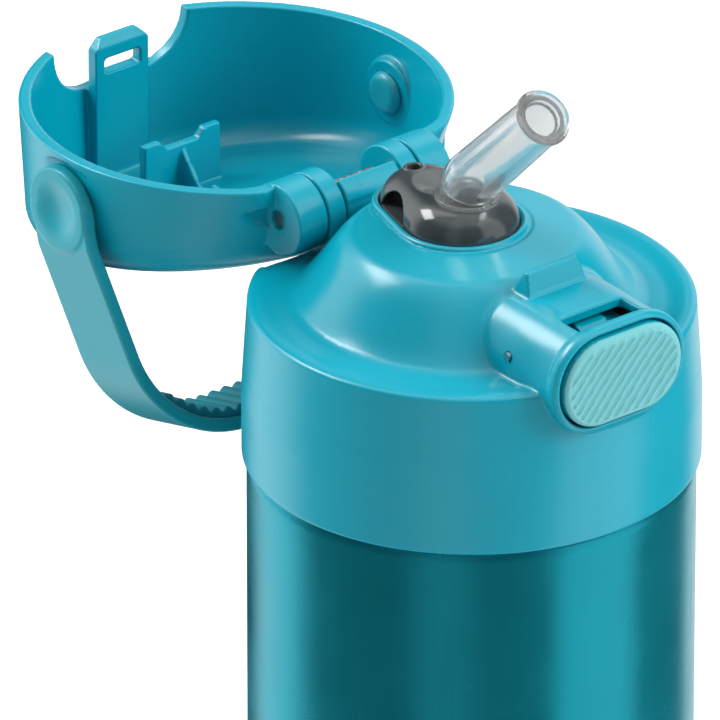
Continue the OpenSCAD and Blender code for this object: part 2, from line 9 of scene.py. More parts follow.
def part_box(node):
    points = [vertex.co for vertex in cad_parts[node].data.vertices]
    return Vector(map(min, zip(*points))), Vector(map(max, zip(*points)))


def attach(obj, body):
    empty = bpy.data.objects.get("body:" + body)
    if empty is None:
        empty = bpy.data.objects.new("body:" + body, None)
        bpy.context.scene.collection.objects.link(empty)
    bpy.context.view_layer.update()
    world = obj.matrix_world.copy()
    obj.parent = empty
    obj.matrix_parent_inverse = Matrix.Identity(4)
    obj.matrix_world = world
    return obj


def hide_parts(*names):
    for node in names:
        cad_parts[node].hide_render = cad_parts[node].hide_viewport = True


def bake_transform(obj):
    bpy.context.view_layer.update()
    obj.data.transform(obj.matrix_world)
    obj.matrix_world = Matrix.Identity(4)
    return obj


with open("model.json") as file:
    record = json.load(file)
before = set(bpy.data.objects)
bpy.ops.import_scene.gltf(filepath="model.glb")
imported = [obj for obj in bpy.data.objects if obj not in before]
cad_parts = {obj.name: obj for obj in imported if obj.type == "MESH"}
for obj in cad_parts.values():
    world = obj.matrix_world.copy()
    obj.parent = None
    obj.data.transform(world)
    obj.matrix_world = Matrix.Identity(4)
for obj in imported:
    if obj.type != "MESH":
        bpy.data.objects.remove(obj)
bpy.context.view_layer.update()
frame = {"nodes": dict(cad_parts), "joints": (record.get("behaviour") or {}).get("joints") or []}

# ---------------------------------------------------------------- places taken from the frame
# Shapes are written in millimetres about the shoulder's centre, with the lid's parts drawn shut
# and the handle's parts drawn round their pivot. Pieces are turned into the frame's metres last.
JOINT = {j["name"]: j for j in frame["joints"]}
SHOULDER = JOINT["cap_turn"]["pos_m"][2]


def local_mm(joint):
    """A joint's place as millimetres from the shoulder's centre."""
    x, y, z = JOINT[joint]["pos_m"]
    return np.array([x, y, z - SHOULDER]) * 1000


HINGE = local_mm("lid_hinge")
HINGE_Y, HINGE_Z = HINGE[1], HINGE[2]
PIVOT_OPEN = local_mm("handle_pivot")
PIVOT_Z = 2 * HINGE_Z - PIVOT_OPEN[2]
HANG_ANGLE = math.radians(14.5)
PIN_BORE_R = 1.55

BODY_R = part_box("outer_shell")[1].x * 1000
SKIRT_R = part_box("cap_collar")[1].x * 1000
SKIRT_LOW = (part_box("cap_collar")[0].z - SHOULDER) * 1000
DECK_R = 36.0

# The button's outline is a slot shape about BUTTON_Z; the dome's is an egg shape on the Y axis.
BUTTON_Z, BUTTON_HALF = 1.0, 4.4
DOME_FRONT, DOME_BACK = 2.9, 12.4
SPOUT_Y, VENT_Y = 1.4, 14.8

DETAIL = 1.0


def from_shoulder(p):
    """Turns millimetres about the shoulder's centre into the frame's metres."""
    return p * 0.001 + np.array([0, 0, SHOULDER])


def from_lid(p):
    """Turns points drawn on the shut lid to where they stand with the lid open."""
    q = p.copy()
    q[:, 1] = 2 * HINGE_Y - p[:, 1]
    q[:, 2] = 2 * HINGE_Z - p[:, 2]
    return from_shoulder(q)


def from_handle(p):
    """Carries points drawn round the pivot, hanging along -Z, to the handle at rest."""
    c, s = math.cos(HANG_ANGLE), math.sin(HANG_ANGLE)
    q = p.copy()
    q[:, 1] = p[:, 1] * c + p[:, 2] * s + PIVOT_OPEN[1]
    q[:, 2] = -p[:, 1] * s + p[:, 2] * c + PIVOT_OPEN[2]
    return from_shoulder(q)


# ---------------------------------------------------------------- distance fields, millimetres


def length(*parts):
    return np.sqrt(sum(p * p for p in parts))


def smooth(t):
    t = np.clip(t, 0, 1)
    return t * t * (3 - 2 * t)


def join(a, b, r=0.0):
    """Both shapes, with a fillet of radius r in the corner between them."""
    if r <= 0:
        return np.minimum(a, b)
    return np.maximum(np.minimum(a, b), r) - length(np.maximum(r - a, 0), np.maximum(r - b, 0))


def meet(a, b, r=0.0):
    """What two shapes share, its edge rounded to radius r."""
    return -join(-a, -b, r)


def cut(a, b, r=0.0):
    """Shape a without shape b, the new edge rounded to radius r."""
    return -join(-a, b, r)


def slab(v, low, high):
    return np.maximum(low - v, v - high)


def brick(x, y, z, xs, ys, zs, r=0.0):
    """Box between the pairs xs, ys and zs, its edges rounded to radius r."""
    parts = []
    for v, (low, high) in ((x, xs), (y, ys), (z, zs)):
        parts.append(np.abs(v - (low + high) / 2) - (high - low) / 2 + r)
    outside = length(*[np.maximum(p, 0) for p in parts])
    return outside + np.minimum(np.maximum(np.maximum(parts[0], parts[1]), parts[2]), 0) - r


def stadium(u, v, half_straight, r):
    """Slot-ended outline, its straight sides along u."""
    return length(np.maximum(np.abs(u) - half_straight, 0), v) - r


def egg(x, y, front, front_r, back, back_r):
    """Outline round two circles on the Y axis, the larger one in front."""
    px, py, h = np.abs(x), y - front, back - front
    b = (front_r - back_r) / h
    a = math.sqrt(1 - b * b)
    k = py * a - px * b
    side = px * a + py * b - front_r
    return np.where(k < 0, length(px, py) - front_r,
                    np.where(k > a * h, length(px, py - h) - back_r, side))


def button_outline(x, z, r):
    return stadium(x, z - BUTTON_Z, BUTTON_HALF, r)


def hinge_rod(y, z, r):
    """Cylinder of radius r about the lid's hinge axis."""
    return length(y - HINGE_Y, z - HINGE_Z) - r


def segment(u, v, a, b):
    """Distance in a plane from a line's stretch between a and b, and how far along it (0 to 1)."""
    du, dv = b[0] - a[0], b[1] - a[1]
    t = np.clip(((u - a[0]) * du + (v - a[1]) * dv) / (du * du + dv * dv), 0, 1)
    return length(u - a[0] - t * du, v - a[1] - t * dv), t


# ---------------------------------------------------------------- meshes from fields and outlines

# The grid is filled in blocks of BLOCK cells a side. CORNERS and EDGES belong to one grid cell,
# and TETRA holds the four directions that a slope is measured along.
BLOCK = 8
CORNERS = np.array([(i, j, k) for i in (0, 1) for j in (0, 1) for k in (0, 1)])
EDGES = [(a, b) for a in range(8) for b in range(a + 1, 8)
         if np.abs(CORNERS[a] - CORNERS[b]).sum() == 1]
TETRA = np.array([(1, 1, 1), (1, -1, -1), (-1, 1, -1), (-1, -1, 1)], float)


def sample(shape, points, chunk=400_000):
    """The field's value at each point."""
    out = np.empty(len(points))
    for i in range(0, len(points), chunk):
        p = points[i:i + chunk]
        out[i:i + chunk] = shape(p[:, 0], p[:, 1], p[:, 2])
    return out


def gradient(shape, p, e):
    """The field's slope at each point, from four samples at distance e."""
    return sum(np.outer(sample(shape, p + e * k), k) for k in TETRA) / (4 * e)


def field_grid(shape, low, high, step):
    """The field on a grid; blocks far from the surface only keep the sign at their centre."""
    blocks = np.ceil((np.array(high) - low) / (step * BLOCK)).astype(int) + 1
    index = np.indices(blocks).reshape(3, -1).T
    middle = sample(shape, low + (index * BLOCK + (BLOCK - 1) / 2) * step)
    grid = np.empty((blocks[0], BLOCK, blocks[1], BLOCK, blocks[2], BLOCK), np.float32)
    grid[index[:, 0], :, index[:, 1], :, index[:, 2]] = middle[:, None, None, None]
    near = index[np.abs(middle) < BLOCK * step * 1.3 + step]
    offset = np.indices((BLOCK,) * 3).reshape(3, -1).T
    for i in range(0, len(near), 600):
        part = near[i:i + 600]
        points = low + (part[:, None] * BLOCK + offset[None]).reshape(-1, 3) * step
        values = sample(shape, points).reshape(-1, BLOCK, BLOCK, BLOCK)
        grid[part[:, 0], :, part[:, 1], :, part[:, 2]] = values
    return grid.reshape(blocks * BLOCK)


def net(shape, low, high, step):
    """Quads on a field's zero surface: one point in each grid cell that the surface crosses."""
    low = np.array(low, float) - step
    grid = field_grid(shape, low, np.array(high, float) + step, step)
    inside = grid < 0
    cells = tuple(n - 1 for n in grid.shape)
    count = np.zeros(cells, np.uint8)
    for i, j, k in CORNERS:
        count += inside[i:i + cells[0], j:j + cells[1], k:k + cells[2]]
    idx = np.argwhere((count > 0) & (count < 8))
    value = np.stack([grid[tuple((idx + c).T)] for c in CORNERS], 1).astype(float)
    total, hits = np.zeros((len(idx), 3)), np.zeros(len(idx))
    for a, b in EDGES:
        va, vb = value[:, a], value[:, b]
        crossed = (va < 0) != (vb < 0)
        t = np.where(crossed, va / np.where(crossed, va - vb, 1), 0)
        total += crossed[:, None] * (CORNERS[a] + t[:, None] * (CORNERS[b] - CORNERS[a]))
        hits += crossed
    points = low + (idx + total / hits[:, None]) * step
    number = np.full(cells, -1, np.int32)
    number[tuple(idx.T)] = np.arange(len(idx))
    quads = []
    for axis in range(3):
        u, v = (axis + 1) % 3, (axis + 2) % 3
        here = [slice(None)] * 3
        there = [slice(None)] * 3
        here[axis], there[axis] = slice(0, -1), slice(1, None)
        first, second = inside[tuple(here)], inside[tuple(there)]
        at = np.argwhere(first != second)
        at = at[(at[:, u] > 0) & (at[:, v] > 0)]
        leaving = first[tuple(at.T)]
        ring = []
        for du, dv in ((1, 1), (0, 1), (0, 0), (1, 0)):
            cell = at.copy()
            cell[:, u] -= du
            cell[:, v] -= dv
            ring.append(number[tuple(cell.T)])
        ring = np.stack(ring, 1)
        ring[~leaving] = ring[~leaving, ::-1]
        quads.append(ring)
    return points, np.concatenate(quads)


def settle(shape, points, step, rounds=2):
    """Moves points onto the zero surface along the field's slope."""
    for _ in range(rounds):
        g = gradient(shape, points, 0.04 * step)
        d = sample(shape, points)
        reach = np.clip(d / np.maximum((g * g).sum(1), 0.05), -step, step)
        points = points - reach[:, None] * g
    return points


def relax(points, quads):
    """Draws each point half way to the middle of its neighbours."""
    total, count = np.zeros_like(points), np.zeros(len(points))
    for a, b in ((0, 1), (1, 2), (2, 3), (3, 0)):
        for p, q in ((a, b), (b, a)):
            for c in range(3):
                total[:, c] += np.bincount(quads[:, p], points[quads[:, q], c], len(points))
            count += np.bincount(quads[:, p], minlength=len(points))
    return points + 0.5 * (total / count[:, None] - points)


def add_object(name, points, faces, material, body=None, normals=None, nodes=()):
    """A smooth object of points (metres) and quads; rides on a body, stands for CAD nodes."""
    mesh = bpy.data.meshes.new(name)
    mesh.vertices.add(len(points))
    mesh.vertices.foreach_set("co", np.asarray(points, np.float32).ravel())
    mesh.loops.add(faces.size)
    mesh.loops.foreach_set("vertex_index", faces.astype(np.int32).ravel())
    mesh.polygons.add(len(faces))
    mesh.polygons.foreach_set("loop_start", np.arange(0, faces.size, 4, dtype=np.int32))
    mesh.polygons.foreach_set("use_smooth", np.ones(len(faces), bool))
    mesh.update(calc_edges=True)
    mesh.validate()
    if normals is not None:
        mesh.normals_split_custom_set_from_vertices(normals)
    mesh.materials.append(material)
    obj = bpy.data.objects.new(name, mesh)
    bpy.context.scene.collection.objects.link(obj)
    if body:
        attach(obj, body)
    if nodes:
        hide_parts(*nodes)
    return obj


def carve(name, shape, low, high, step, place, material, body, nodes=(), shade=None):
    """A piece from a distance field, standing for the CAD nodes named; shade gives its normals."""
    step *= DETAIL
    points, quads = net(shape, low, high, step)
    points = settle(shape, points, step)
    for _ in range(2):
        points = settle(shape, relax(points, quads), step, 1)
    normals = gradient(shade or shape, points, 0.04 * step)
    tips = place(points + normals / np.maximum(length(*normals.T), 1e-6)[:, None])
    spots = place(points)
    normals = (tips - spots) * 1000
    return add_object(name, spots, quads, material, body, normals, nodes)


def lathe(name, outline, material, body, nodes=(), segments=256):
    """A closed outline of (radius, height) points in metres, turned about the Z axis."""
    outline = np.array(outline, float)
    n = len(outline)
    angle = np.arange(segments) * 2 * math.pi / segments
    points = np.stack([np.outer(outline[:, 0], np.cos(angle)), np.outer(outline[:, 0], np.sin(angle)),
                       np.repeat(outline[:, 1:], segments, 1)], 2).reshape(-1, 3)
    i, j = np.meshgrid(np.arange(n), np.arange(segments), indexing="ij")
    i2, j2 = (i + 1) % n, (j + 1) % segments
    faces = np.stack([i * segments + j, i * segments + j2, i2 * segments + j2, i2 * segments + j],
                     2).reshape(-1, 4)
    obj = add_object(name, points, faces, material, body, nodes=nodes)
    obj.data.set_sharp_from_angle(angle=math.radians(35))


# ---------------------------------------------------------------- materials


def finish(name, colour, rough, metal=0.0, vary=0.06, rough_vary=0.05, bump=0.15, worn=0.12,
           clear=0.0, subsurface=0.0, ior=1.47, shine=0.5):
    """A procedural surface: mottled colour and roughness, a fine grain, and rubbed streaks."""
    mat = bpy.data.materials.new(name)
    mat.use_nodes = True
    nodes, links = mat.node_tree.nodes, mat.node_tree.links
    bsdf = nodes["Principled BSDF"]
    place = nodes.new("ShaderNodeTexCoord")

    def noise(scale, detail, stretch=None):
        node = nodes.new("ShaderNodeTexNoise")
        node.inputs["Scale"].default_value = scale
        node.inputs["Detail"].default_value = detail
        source = place.outputs["Object"]
        if stretch:
            turn = nodes.new("ShaderNodeMapping")
            turn.inputs["Scale"].default_value = stretch
            turn.inputs["Rotation"].default_value = (0.4, 0.9, 0.3)
            links.new(source, turn.inputs["Vector"])
            source = turn.outputs["Vector"]
        links.new(source, node.inputs["Vector"])
        return node.outputs["Fac"]

    def scaled(value, low, high, out_low, out_high):
        node = nodes.new("ShaderNodeMapRange")
        node.inputs["From Min"].default_value = low
        node.inputs["From Max"].default_value = high
        node.inputs["To Min"].default_value = out_low
        node.inputs["To Max"].default_value = out_high
        links.new(value, node.inputs["Value"])
        return node.outputs["Result"]

    def plus(a, b):
        node = nodes.new("ShaderNodeMath")
        node.operation = "ADD"
        links.new(a, node.inputs[0])
        links.new(b, node.inputs[1])
        return node.outputs["Value"]

    mottle = noise(60, 3)
    streaks = noise(320, 2, (1, 0.06, 0.06))
    tint = nodes.new("ShaderNodeMix")
    tint.data_type = "RGBA"
    tint.inputs["A"].default_value = (*[c * (1 - vary) for c in colour], 1)
    tint.inputs["B"].default_value = (*[min(c * (1 + vary), 1) for c in colour], 1)
    links.new(scaled(mottle, 0.3, 0.7, 0, 1), tint.inputs["Factor"])
    links.new(tint.outputs["Result"], bsdf.inputs["Base Color"])
    links.new(plus(scaled(mottle, 0.3, 0.7, rough - rough_vary, rough + rough_vary),
                   scaled(streaks, 0.62, 0.74, 0, worn)), bsdf.inputs["Roughness"])
    relief = nodes.new("ShaderNodeBump")
    relief.inputs["Strength"].default_value = bump
    relief.inputs["Distance"].default_value = 0.00003
    links.new(noise(4200, 2), relief.inputs["Height"])
    links.new(relief.outputs["Normal"], bsdf.inputs["Normal"])
    bsdf.inputs["Metallic"].default_value = metal
    bsdf.inputs["IOR"].default_value = ior
    bsdf.inputs["Specular IOR Level"].default_value = shine
    bsdf.inputs["Transmission Weight"].default_value = clear
    bsdf.inputs["Subsurface Weight"].default_value = subsurface
    bsdf.inputs["Subsurface Radius"].default_value = (0.002, 0.002, 0.002)
    return mat


PAINT = finish("body_paint", (0.006, 0.33, 0.42), 0.24, metal=0.72, worn=0.08, bump=0.08)
PLASTIC = finish("teal_plastic", (0.0, 0.29, 0.39), 0.25, bump=0.05, vary=0.02, rough_vary=0.015,
                 worn=0.03, shine=0.8)
HANDLE_PLASTIC = finish("handle_plastic", (0.01, 0.28, 0.35), 0.32, bump=0.05, vary=0.02,
                        rough_vary=0.02, worn=0.04, shine=0.7)
STOPPER_PLASTIC = finish("stopper_plastic", (0.01, 0.2, 0.27), 0.45)
STEEL = finish("bare_steel", (0.56, 0.57, 0.58), 0.28, metal=1.0, worn=0.2)
SMOKE = finish("smoke_plastic", (0.04, 0.05, 0.054), 0.13, vary=0.08, rough_vary=0.03,
               worn=0.05, bump=0.05, shine=1.0)
STRAW = finish("straw_plastic", (0.75, 0.8, 0.82), 0.35, clear=0.6)
SILICONE = finish("clear_silicone", (0.93, 0.95, 0.95), 0.09, clear=0.92, ior=1.41, vary=0.01,
                  rough_vary=0.02, worn=0.05)
RUBBER = finish("sage_rubber", (0.14, 0.44, 0.47), 0.5, vary=0.03)
GRIP = finish("grip_rubber", (0.01, 0.21, 0.26), 0.45, vary=0.05)
SOFT_SEAL = finish("soft_seal", (0.72, 0.74, 0.75), 0.5, subsurface=0.2)

# The CAD nodes that are shown as they are.
CARRIED = {
    STEEL: ("inner_liner", "bottom_plate", "vacuum_plug", "getter_puck", "hinge_pin",
            "hinge_spring", "retaining_pin", "latch_spring"),
    SOFT_SEAL: ("stopper_seal", "vent_valve"),
    STOPPER_PLASTIC: ("stopper_plug",),
    STRAW: ("straw",),
}
for surface, names in CARRIED.items():
    for node in names:
        slots = frame["nodes"][node].data.materials
        slots.clear()
        slots.append(surface)

# ---------------------------------------------------------------- the bottle

# Metres: the steel's thickness, the base corner, the foot ring and recess, the neck under the cap.
TOP_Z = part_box("outer_shell")[1].z
SHEET = 0.0006
BODY = BODY_R / 1000
FOOT_R, BASE_R, RECESS = 0.003, 0.029, 0.0016
NECK, NECK_BORE, NECK_CORNER = BODY - 0.0028, BODY - 0.0048, 0.0008
TURN_INNER = NECK + 0.0004
TURN_R = BODY - TURN_INNER
TURN_Z = SHOULDER - 0.0296


def bend(cx, cz, r, start, end, n=10):
    """Points on an arc of an outline, angles in degrees."""
    angles = np.radians(np.linspace(start, end, n + 1))
    return [(cx + r * math.cos(a), cz + r * math.sin(a)) for a in angles]


lathe("bottle_shell", [(BASE_R, 0.0)] + bend(BODY - FOOT_R, FOOT_R, FOOT_R, -90, 0)
      + [(BODY, z) for z in np.linspace(0.01, TURN_Z - 0.004, 40)]
      + bend(TURN_INNER, TURN_Z, TURN_R, 0, 90) + [(NECK, TURN_Z + TURN_R)]
      + bend(NECK - NECK_CORNER, TOP_Z - NECK_CORNER, NECK_CORNER, 0, 90, 4)
      + [(NECK_BORE, TOP_Z), (NECK_BORE, TOP_Z - SHEET), (NECK - SHEET, TOP_Z - SHEET),
         (NECK - SHEET, TURN_Z + TURN_R - SHEET)]
      + bend(TURN_INNER, TURN_Z, TURN_R - SHEET, 90, 0)
      + bend(BODY - FOOT_R, FOOT_R, FOOT_R - SHEET, 0, -90)
      + [(BASE_R + SHEET, SHEET), (BASE_R + SHEET, RECESS), (BASE_R, RECESS)],
      PAINT, "bottle", ["outer_shell"])

# ---------------------------------------------------------------- the cap

# The cap is two pieces that meet at JOIN_Z. The mound's profile is a steep flank and a low crown.
JOIN_Z = -11.2
MOUND_Y, MOUND_R = 1.5, 29.5
FLANK_RUN, FLANK_H = 12, 10.4
CROWN_RUN, CROWN_H = 19, 2.75
LIP_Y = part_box("cap_collar")[0].y * 1000
STOP_Y, STOP_Z = -24.9, 3.2


def skirt_radius(z):
    """The skirt flares slightly from the deck's edge down."""
    return DECK_R + (SKIRT_R - DECK_R) * np.clip(-z / 16, 0, 1)


def deck(x, y, z):
    """The deck with the bell-shaped mound and the mouthpiece's seat, solid below its surface."""
    rho = length(x, y)
    run = MOUND_R - length(x, y - MOUND_Y)
    u = np.clip(run / FLANK_RUN, 0, 1)
    height = -0.8 + FLANK_H * smooth(u) + CROWN_H * np.clip((run - 2) / CROWN_RUN, 0, 1)
    on_crown = (run > 2) * (run < 2 + CROWN_RUN)
    slope = FLANK_H * 6 * u * (1 - u) / FLANK_RUN + 0.145 * on_crown
    bell = (z - height) / np.sqrt(1 + slope * slope)
    facet = np.maximum((9.3 - 0.45 * (y - 20) - z) / 1.097, np.maximum(np.abs(x) - 9.8, 20 - y))
    bell = cut(bell, facet, 0.3)
    # the raised seat, then the groove and the bead round the dome's foot
    step = egg(x, y, DOME_FRONT, 10.9, 11.2, 9.3) + 0.25 * (z - 11.5)
    bell = join(bell, meet(meet(step, z - 11.5, 0.3), 5 - z), 0.35)
    foot = egg(x, y, DOME_FRONT, 9.5, DOME_BACK, 7.0)
    bell = cut(bell, length(foot - 1.75, z - 12.75) - 0.75, 0.25)
    bell = join(bell, length(foot - 0.7, z - 12.05) - 0.62, 0.12)
    flat = z + 0.6 * smooth((34.4 - rho) / 3.6)
    return join(flat, bell, 1.0)


def housing(x, y, z):
    """The latch's housing, drawn in slightly behind its lip."""
    waist = 0.4 * smooth((y + 35.8) / 1.6) * (1 - 0.6 * smooth((y + 33) / 9))
    arch = button_outline(x, z, 9.05 - waist)
    return np.maximum(meet(arch, LIP_Y - y, 0.9), y + 8)


def wedge(x, y, z):
    """The small ramp on the deck behind the housing."""
    front = (-(y + 21.8) * 4.5 + (z - 9) * 1.7) / 4.81
    back = ((y + 16.8) * 4.5 + (z - 9) * 2.3) / 5.05
    top = meet(meet(front, back, 0.3), z - 13.5, 0.3)
    return meet(meet(top, np.abs(x) + 0.2 * (z - 9) - 6.1, 0.3), 5 - z)


def cap_form(x, y, z):
    """The whole cap as one shape; the skirt is cut off it in cap_top."""
    rho = length(x, y)
    ax = np.abs(x)
    d = deck(x, y, z)
    d = meet(d, rho - skirt_radius(z), 0.9)
    d = join(d, housing(x, y, z), 0.8)
    d = join(d, wedge(x, y, z), 0.5)
    # the flat for the open lid, the room for its back wall and the hinge's trough
    d = cut(d, np.maximum(np.maximum(ax - 21, 29.4 - y), -11 - z), 0.4)
    room = join(np.maximum(np.maximum(ax - 19.5, 27.5 - y), -z),
                join(np.maximum(hinge_rod(y, z, 6.8), ax - 9.7),
                     np.maximum(hinge_rod(y, z, 7.0), slab(ax, 9.7, 19.5))))
    d = cut(d, room, 0.4)
    ear = join(hinge_rod(y, z, 6.2),
               brick(x, y, z, (-20, 20), (HINGE_Y - 6.2, 29.4), (-4, HINGE_Z)))
    d = join(d, meet(ear, slab(ax, 6.2, 9.7), 0.35), 0.3)
    d = cut(d, hinge_rod(y, z, PIN_BORE_R))
    # the button's opening, the slot for the strike and the pocket behind them
    hole = np.maximum(button_outline(x, z, 7.9), y + 33.3)
    d = cut(d, hole, 0.35)
    d = cut(d, np.maximum(brick(x, y, z, (-6.2, 6.2), (-34.8, -29.6), (-1, 14), 0.4), -z), 0.5)
    d = cut(d, np.maximum(button_outline(x, z, 7.05), slab(y, -35, -20.5)))
    d = cut(d, length(y - STOP_Y, z - STOP_Z) - 0.78)
    # the recess for the mouthpiece, with the holes under it
    d = cut(d, np.maximum(egg(x, y, DOME_FRONT, 9.55, DOME_BACK, 7.05), 11.75 - z), 0.12)
    d = cut(d, length(x, y - SPOUT_Y) - 6.25)
    return cut(d, length(x, y - VENT_Y) - 2.45)


def cap_top(x, y, z):
    # a short tongue below the join stands just inside the skirt
    tongue = length(x, y) - skirt_radius(z) + 0.15 * np.clip((JOIN_Z - z) / 0.6, 0, 1)
    tongue = tongue - 9 * np.clip(z - JOIN_Z, 0, 1)
    return np.maximum(np.maximum(cap_form(x, y, z), tongue), JOIN_Z - 0.9 - z)


carve("cap_top", cap_top, (-37.5, -38, JOIN_Z - 1.5), (37.5, 38, 14.2), 0.4, from_shoulder,
      PLASTIC, "cap", ["cap_collar"], cap_form)


INNER_EDGE, OUTER_EDGE, SKIRT_WALL = 0.4, 0.6, 1.8
flare = [(skirt_radius(z), z) for z in np.linspace(SKIRT_LOW + OUTER_EDGE, JOIN_Z, 24)]
skirt = ([(SKIRT_R - SKIRT_WALL, SKIRT_LOW + INNER_EDGE)]
         + bend(SKIRT_R - SKIRT_WALL + INNER_EDGE, SKIRT_LOW + INNER_EDGE, INNER_EDGE, 180, 270, 4)
         + bend(SKIRT_R - OUTER_EDGE, SKIRT_LOW + OUTER_EDGE, OUTER_EDGE, -90, 0, 6)
         + flare[1:] + [(SKIRT_R - SKIRT_WALL, JOIN_Z)])
lathe("cap_skirt", [(r / 1000, z / 1000 + SHOULDER) for r, z in skirt],
      PLASTIC, "cap", ["cap_collar"])

# ---------------------------------------------------------------- mouthpiece and spout



def mouthpiece(x, y, z):
    ring = egg(x, y, DOME_FRONT, 9.5, DOME_BACK, 7.0)
    shell = meet(ring, z - 17.3, 5.2)
    shell = np.maximum(shell, 11.8 - z)
    # the dip beside the spout and the raised rim of the vent behind it
    dip = length(x, (y - 8.2) * 1.1, (z - 22.6) * 0.95) - 6.2
    d = cut(shell, dip, 1.2)
    d = join(d, length(length(x, y - VENT_Y) - 1.4, z - 17.0) - 0.4, 0.15)
    d = join(d, np.maximum(length(x, y - SPOUT_Y) - 6.2, np.maximum(z - 13, 2 - z)))
    for side in (-1, 1):
        notch = length(y - 11.1 + 0.2 * (side * x - 7), z - 11.6) - 4.05
        d = cut(d, np.maximum(np.maximum(notch, 3.6 - side * x), 12.3 - z), 0.3)
    d = cut(d, np.maximum(length(x, y - SPOUT_Y) - 4.15, 5.5 - z), 0.35)
    d = cut(d, length(x, y - SPOUT_Y) - 3.25)
    return cut(d, length(x, y - VENT_Y) - 1.1, 0.15)


carve("mouthpiece_dome", mouthpiece, (-10, -7.2, 1.5), (10, 20, 18.5), 0.25, from_shoulder,
      SMOKE, "cap", ["mouthpiece"])

# The spout rises, bends forwards by LEAN round BEND_C, and runs straight on from LEAVE.
LEAN = math.radians(45)
BEND_R = 5.2
BEND_Z = 19.6 - BEND_R * math.tan(LEAN / 2)
BEND_C = (SPOUT_Y - BEND_R, BEND_Z)
LEAVE = (BEND_C[0] + BEND_R * math.cos(LEAN), BEND_Z + BEND_R * math.sin(LEAN))
SPOUT_LEN = 25.0


def spout_place(y, z):
    """Distance from the spout's centre line, and how far along the line, counted from its bend."""
    ahead = -(y - LEAVE[0]) * math.sin(LEAN) + (z - LEAVE[1]) * math.cos(LEAN)
    aside = (y - LEAVE[0]) * math.cos(LEAN) + (z - LEAVE[1]) * math.sin(LEAN)
    turn = np.arctan2(z - BEND_Z, y - BEND_C[0])
    radius = length(y - BEND_C[0], z - BEND_Z)
    below = z < BEND_Z
    off = np.where(below, y - SPOUT_Y, np.where(turn > LEAN, aside, radius - BEND_R))
    along = np.where(below, z - BEND_Z, np.where(turn > LEAN, BEND_R * LEAN + ahead, BEND_R * turn))
    return off, along


def spout(x, y, z):
    off, along = spout_place(y, z)
    tip = BEND_R * LEAN + SPOUT_LEN
    ring = length(x, off)
    # a neck above the foot, a swell, and a slight taper towards the lip
    outer = (4.05 + 0.62 * smooth((along + 0.9) / 0.8) - 0.3 * np.exp(-((along - 1.6) / 0.5) ** 2)
             - 0.35 * np.clip((along - 4) / 24, 0, 1))
    d = ring - outer
    lip = length(ring - 4.2, along - tip + 0.55) - 0.6
    d = join(np.maximum(d, along - tip + 0.35), lip, 0.35)
    bore = 2.7 + 0.35 * smooth((along - tip + 1.6) / 0.3)
    foot = meet(ring - 5.3, slab(along, -0.9, 0.35), 0.4)
    d = cut(join(d, foot, 0.25), ring - bore, 0.2)
    return np.maximum(np.maximum(d, 5.6 - z), along - tip)


# The spout is soft and bends between its foot and its neck when it folds; here it is built in one
# pose, on no body.
flow = carve("drinking_spout", spout, (-5.5, -21.5, 5), (5.5, 6.5, 42), 0.25, from_shoulder,
             SILICONE, None, ["spout"])
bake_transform(flow)

# ---------------------------------------------------------------- latch


def slider(x, y, z):
    plate = np.maximum(button_outline(x, z, 7.5), slab(y, -37.5, -35.6))
    d = join(plate, brick(x, y, z, (-7.2, 7.2), (-36, -24.6), (-5.2, 0.1), 0.3))
    d = join(d, brick(x, y, z, (-6.6, 6.6), (-29.6, -23), (-5.2, 6.2), 0.3))
    d = join(d, brick(x, y, z, (-2.9, 2.9), (-29.8, -27.6), (0, 7.2), 0.2), 0.3)
    # the hook's sloped nose, which reaches through the strike tab's window
    nose = np.maximum((-(y + 31.6) * 1.9 + (z - 5.3) * 1.6) / 2.48, np.maximum(5.1 - z, -31.6 - y))
    nose = np.maximum(np.maximum(nose, y + 27.6), z - 7.2)
    d = join(d, np.maximum(nose, np.abs(x) - 2.9), 0.2)
    # the slot that rides on the retaining pin, and the spring's seat
    slot = brick(x, y, z, (-10, 10), (STOP_Y - 2.85, STOP_Y + 0.85),
                 (STOP_Z - 0.85, STOP_Z + 0.85), 0.8)
    d = cut(d, slot)
    return cut(d, np.maximum(length(x, z + 2.3) - 2.45, -26.5 - y))


carve("latch_slider_body", slider, (-12.5, -38.2, -7), (12.5, -22.5, 9), 0.35, from_shoulder,
      PLASTIC, "latch", ["latch_slider"])


PAD_R, RIB_LEAN, RIB_PITCH, RIB_H = 7.5, math.radians(43), 1.5, 0.55


def pad(x, y, z):
    face = button_outline(x, z, PAD_R)
    crown = 0.3 * np.clip(1 + face / PAD_R, 0, 1)
    ridge = (x * math.cos(RIB_LEAN) - (z - BUTTON_Z) * math.sin(RIB_LEAN)) / RIB_PITCH
    wave = RIB_H * (1 - np.abs(np.sin(math.pi * ridge)) ** 0.7) * smooth(-(face + 0.75) / 0.6)
    front = -y - 38.0 - wave - crown
    return np.maximum(meet(face, front * 0.8, 0.75), y + 37.5)


carve("button_pad_face", pad, (-12.3, -39.6, -7), (12.3, -37, 9), 0.2, from_shoulder,
      RUBBER, "latch", ["button_pad"])

# ---------------------------------------------------------------- lid, drawn shut

SLOPE = math.radians(11.3)
LID_TOP, RIM_R, RIM_Z, BACK_Y, WALL = 22.9, 35.4, 0.9, 30.0, 2.1
KNUCKLE_IN, KNUCKLE_OUT = 10, 15.8
RECESS_X = 34.7


